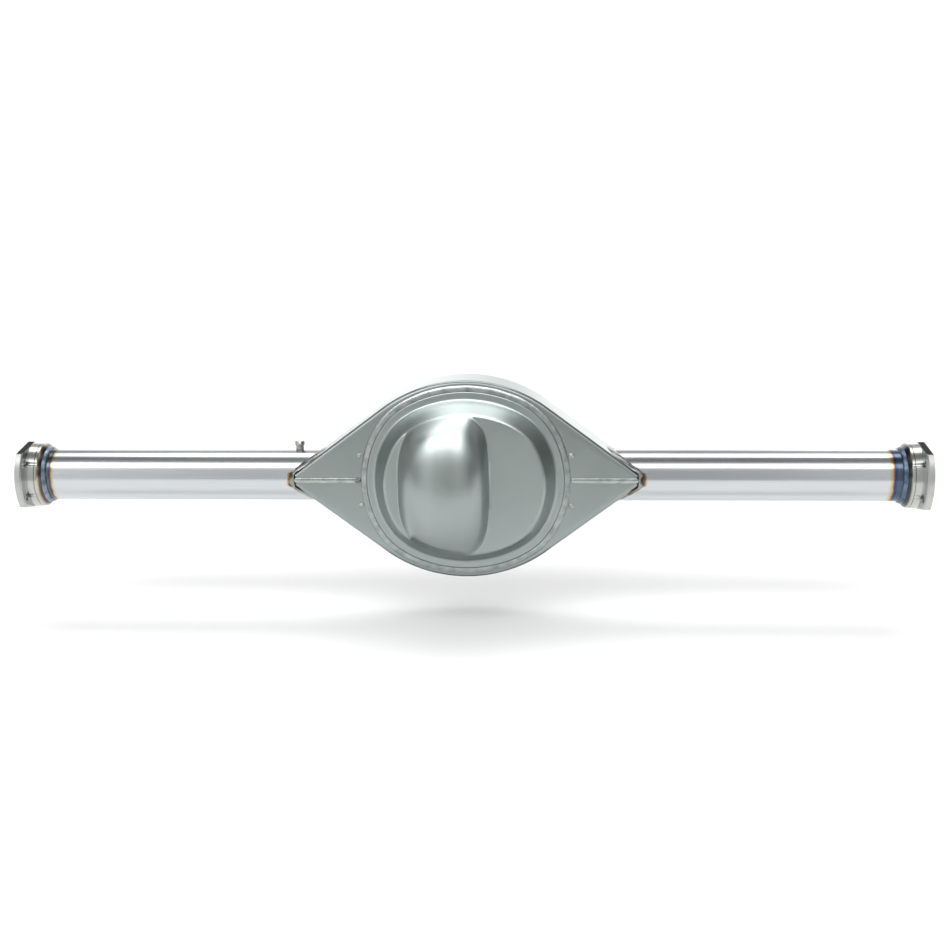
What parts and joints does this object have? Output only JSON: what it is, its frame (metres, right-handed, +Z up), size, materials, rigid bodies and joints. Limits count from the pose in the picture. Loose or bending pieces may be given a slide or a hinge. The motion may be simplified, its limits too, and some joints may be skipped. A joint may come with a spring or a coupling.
{
  "type": "axle housing",
  "caption": "Bare welded steel rear drive axle housing: pressed shells and domed rear cover, two tubes, flanged bearing ends, studded carrier face and a tube vent.",
  "frame": {"origin": "on the axle line, in the middle of the carrier opening", "axes": "+X along the axle to the right as seen from behind, +Y to the front, out of the carrier opening, +Z up"},
  "size_m": [1.3208, 0.2177, 0.291],
  "materials": {
    "pressed_steel": "bare pressed sheet steel, blasted satin grey",
    "drawn_steel": "bare drawn sheet steel, satin",
    "machined_steel": "bare turned steel",
    "plated_steel": "zinc plated",
    "tube_steel": "bare drawn tube, smooth and bright, heat tinted at its welds",
    "forged_steel": "machined forging",
    "weld_metal": "bare weld bead with heat tint"
  },
  "bodies": {
    "root": {"upper_shell": "pressed_steel", "lower_shell": "pressed_steel", "rear_cover": "drawn_steel", "carrier_ring": "machined_steel", "carrier_studs": "plated_steel", "left_tube": "tube_steel", "right_tube": "tube_steel", "left_bearing_end": "forged_steel", "right_bearing_end": "forged_steel", "left_upper_gusset": "pressed_steel", "left_lower_gusset": "pressed_steel", "right_upper_gusset": "pressed_steel", "right_lower_gusset": "pressed_steel", "rear_cover_weld": "weld_metal", "carrier_ring_weld": "weld_metal", "left_end_weld": "weld_metal", "right_end_weld": "weld_metal", "left_shell_weld": "weld_metal", "right_shell_weld": "weld_metal", "left_rear_seam": "weld_metal", "right_rear_seam": "weld_metal", "left_front_seam": "weld_metal", "right_front_seam": "weld_metal", "plug_welds": "weld_metal", "vent_body": "plated_steel", "vent_cap": "plated_steel"}
  },
  "joints": []
}
